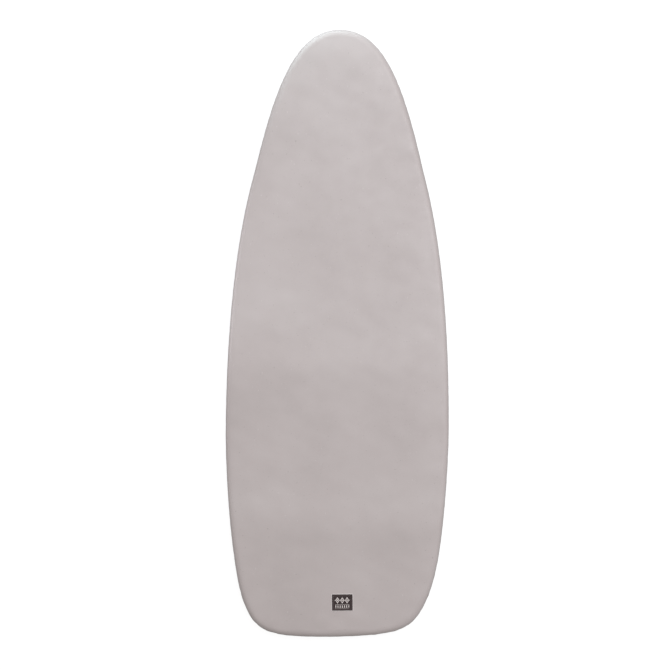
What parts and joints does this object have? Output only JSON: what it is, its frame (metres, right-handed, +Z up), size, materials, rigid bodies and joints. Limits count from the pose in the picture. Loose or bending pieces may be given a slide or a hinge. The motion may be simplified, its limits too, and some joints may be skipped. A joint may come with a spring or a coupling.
{
  "type": "ironing board cover",
  "caption": "Padded ironing board cover in its fitted shape: metallised face over foam and felt, rolled edge, draw cord hem with cord lock.",
  "frame": {"origin": "on the surface that the cover's hem lies on, under the middle of its outline", "axes": "+Z up, out of the ironing face; +Y along the cover towards its narrow nose; +X to the right when the nose points away"},
  "size_m": [0.4558, 1.24, 0.0359],
  "materials": {
    "face_cloth": "satin",
    "foam": "matte",
    "felt": "matte",
    "binding_tape": "matte",
    "cord": "matte",
    "lock_plastic": "matte",
    "button_plastic": "matte",
    "spring_steel": "satin",
    "label_cloth": "matte"
  },
  "bodies": {
    "cover": {"face_cloth": "face_cloth", "foam_layer": "foam", "felt_underlay": "felt", "hem_binding": "binding_tape", "draw_cord": "cord", "cord_knot": "cord", "sewn_label": "label_cloth"},
    "cord_lock": {"cord_lock_body": "lock_plastic", "cord_lock_spring": "spring_steel"},
    "lock_button": {"cord_lock_button": "button_plastic"}
  },
  "joints": [
    {"name": "lock_slide", "type": "slide", "parent": "cover", "child": "cord_lock", "axis": [0, 1, 0], "range_m": [0, 0.035]},
    {"name": "button_press", "type": "slide", "parent": "cord_lock", "child": "lock_button", "axis": [-1, 0, 0], "range_m": [0, 0.0025], "stiffness_N_per_m": 300, "springref_m": -0.004, "deforming": ["cord_lock_spring"]}
  ]
}
